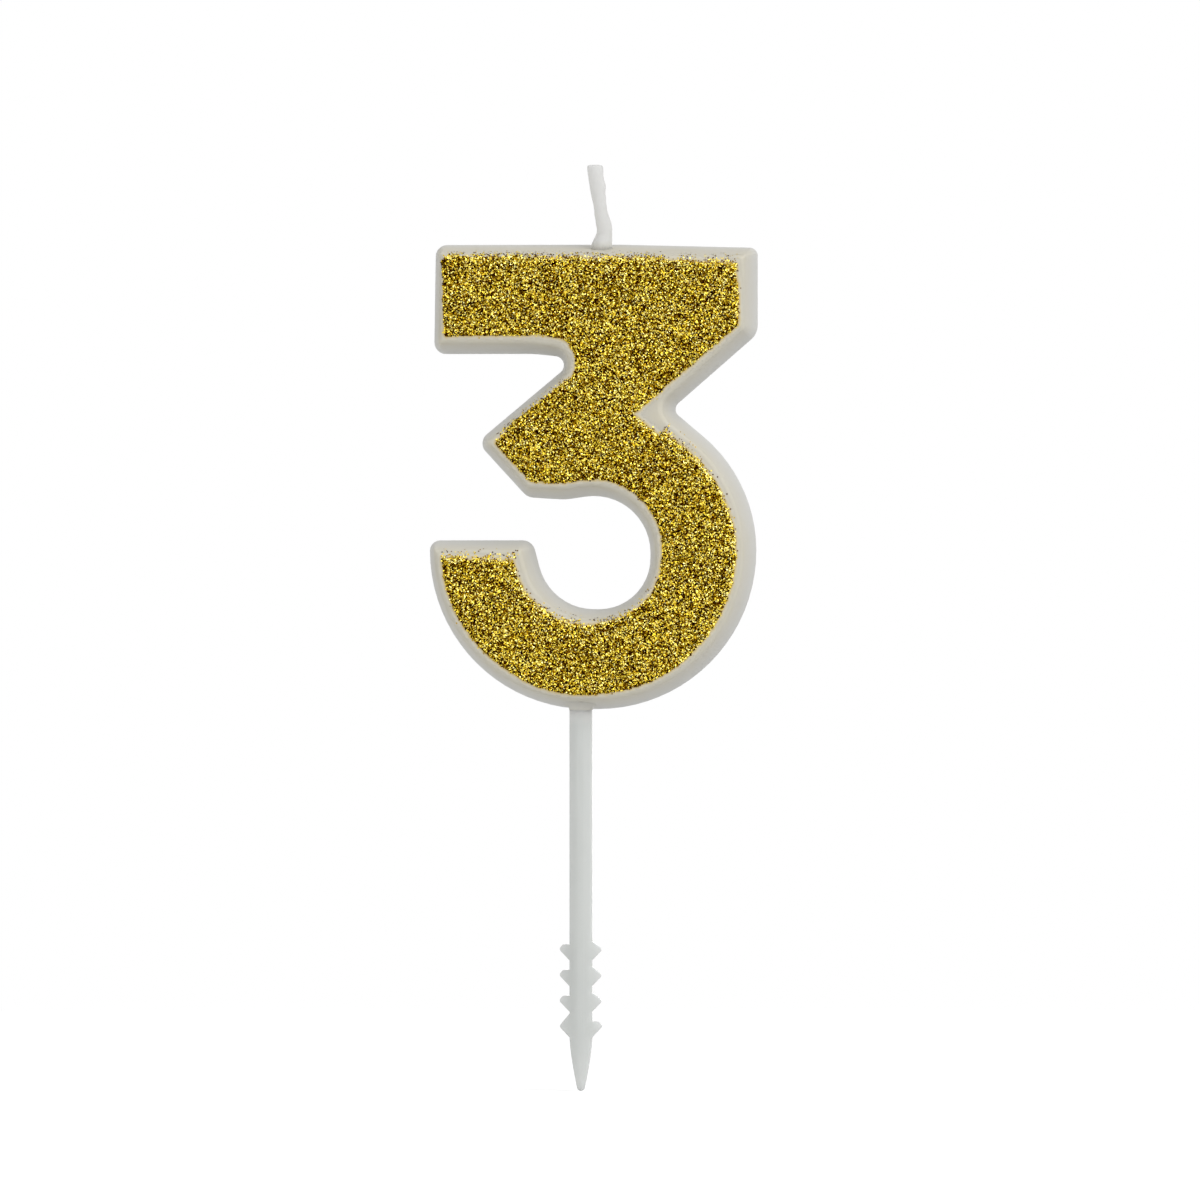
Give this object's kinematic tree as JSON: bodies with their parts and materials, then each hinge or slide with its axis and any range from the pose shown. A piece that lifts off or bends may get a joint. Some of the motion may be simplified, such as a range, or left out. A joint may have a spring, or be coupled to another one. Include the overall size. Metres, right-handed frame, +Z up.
{
  "type": "number candle",
  "caption": "Cast wax numeral candle with a glitter-covered front face, a waxed wick in its top bar and a barbed cake pick in its foot.",
  "frame": {"origin": "on the axis of the cake pick, at the underside of the wax numeral, where the top of the cake is", "axes": "+Z up along the pick to the wick, +X to the right of someone who reads the numeral, -Y out of its glitter face"},
  "size_m": [0.0494, 0.0094, 0.1389],
  "materials": {
    "wax": "cast paraffin wax, off-white, softly translucent, satin",
    "waxed_cotton": "braided cotton dipped in wax",
    "pick_plastic": "moulded white plastic, satin",
    "clear_glue": "dried clear glue, tinted by the glitter in it",
    "gold_glitter": "fine gold metallised glitter, loose grained, sparkling"
  },
  "bodies": {
    "root": {"wax_numeral": "wax", "wick": "waxed_cotton", "cake_pick": "pick_plastic", "adhesive_film": "clear_glue", "glitter_coat": "gold_glitter"}
  },
  "joints": []
}
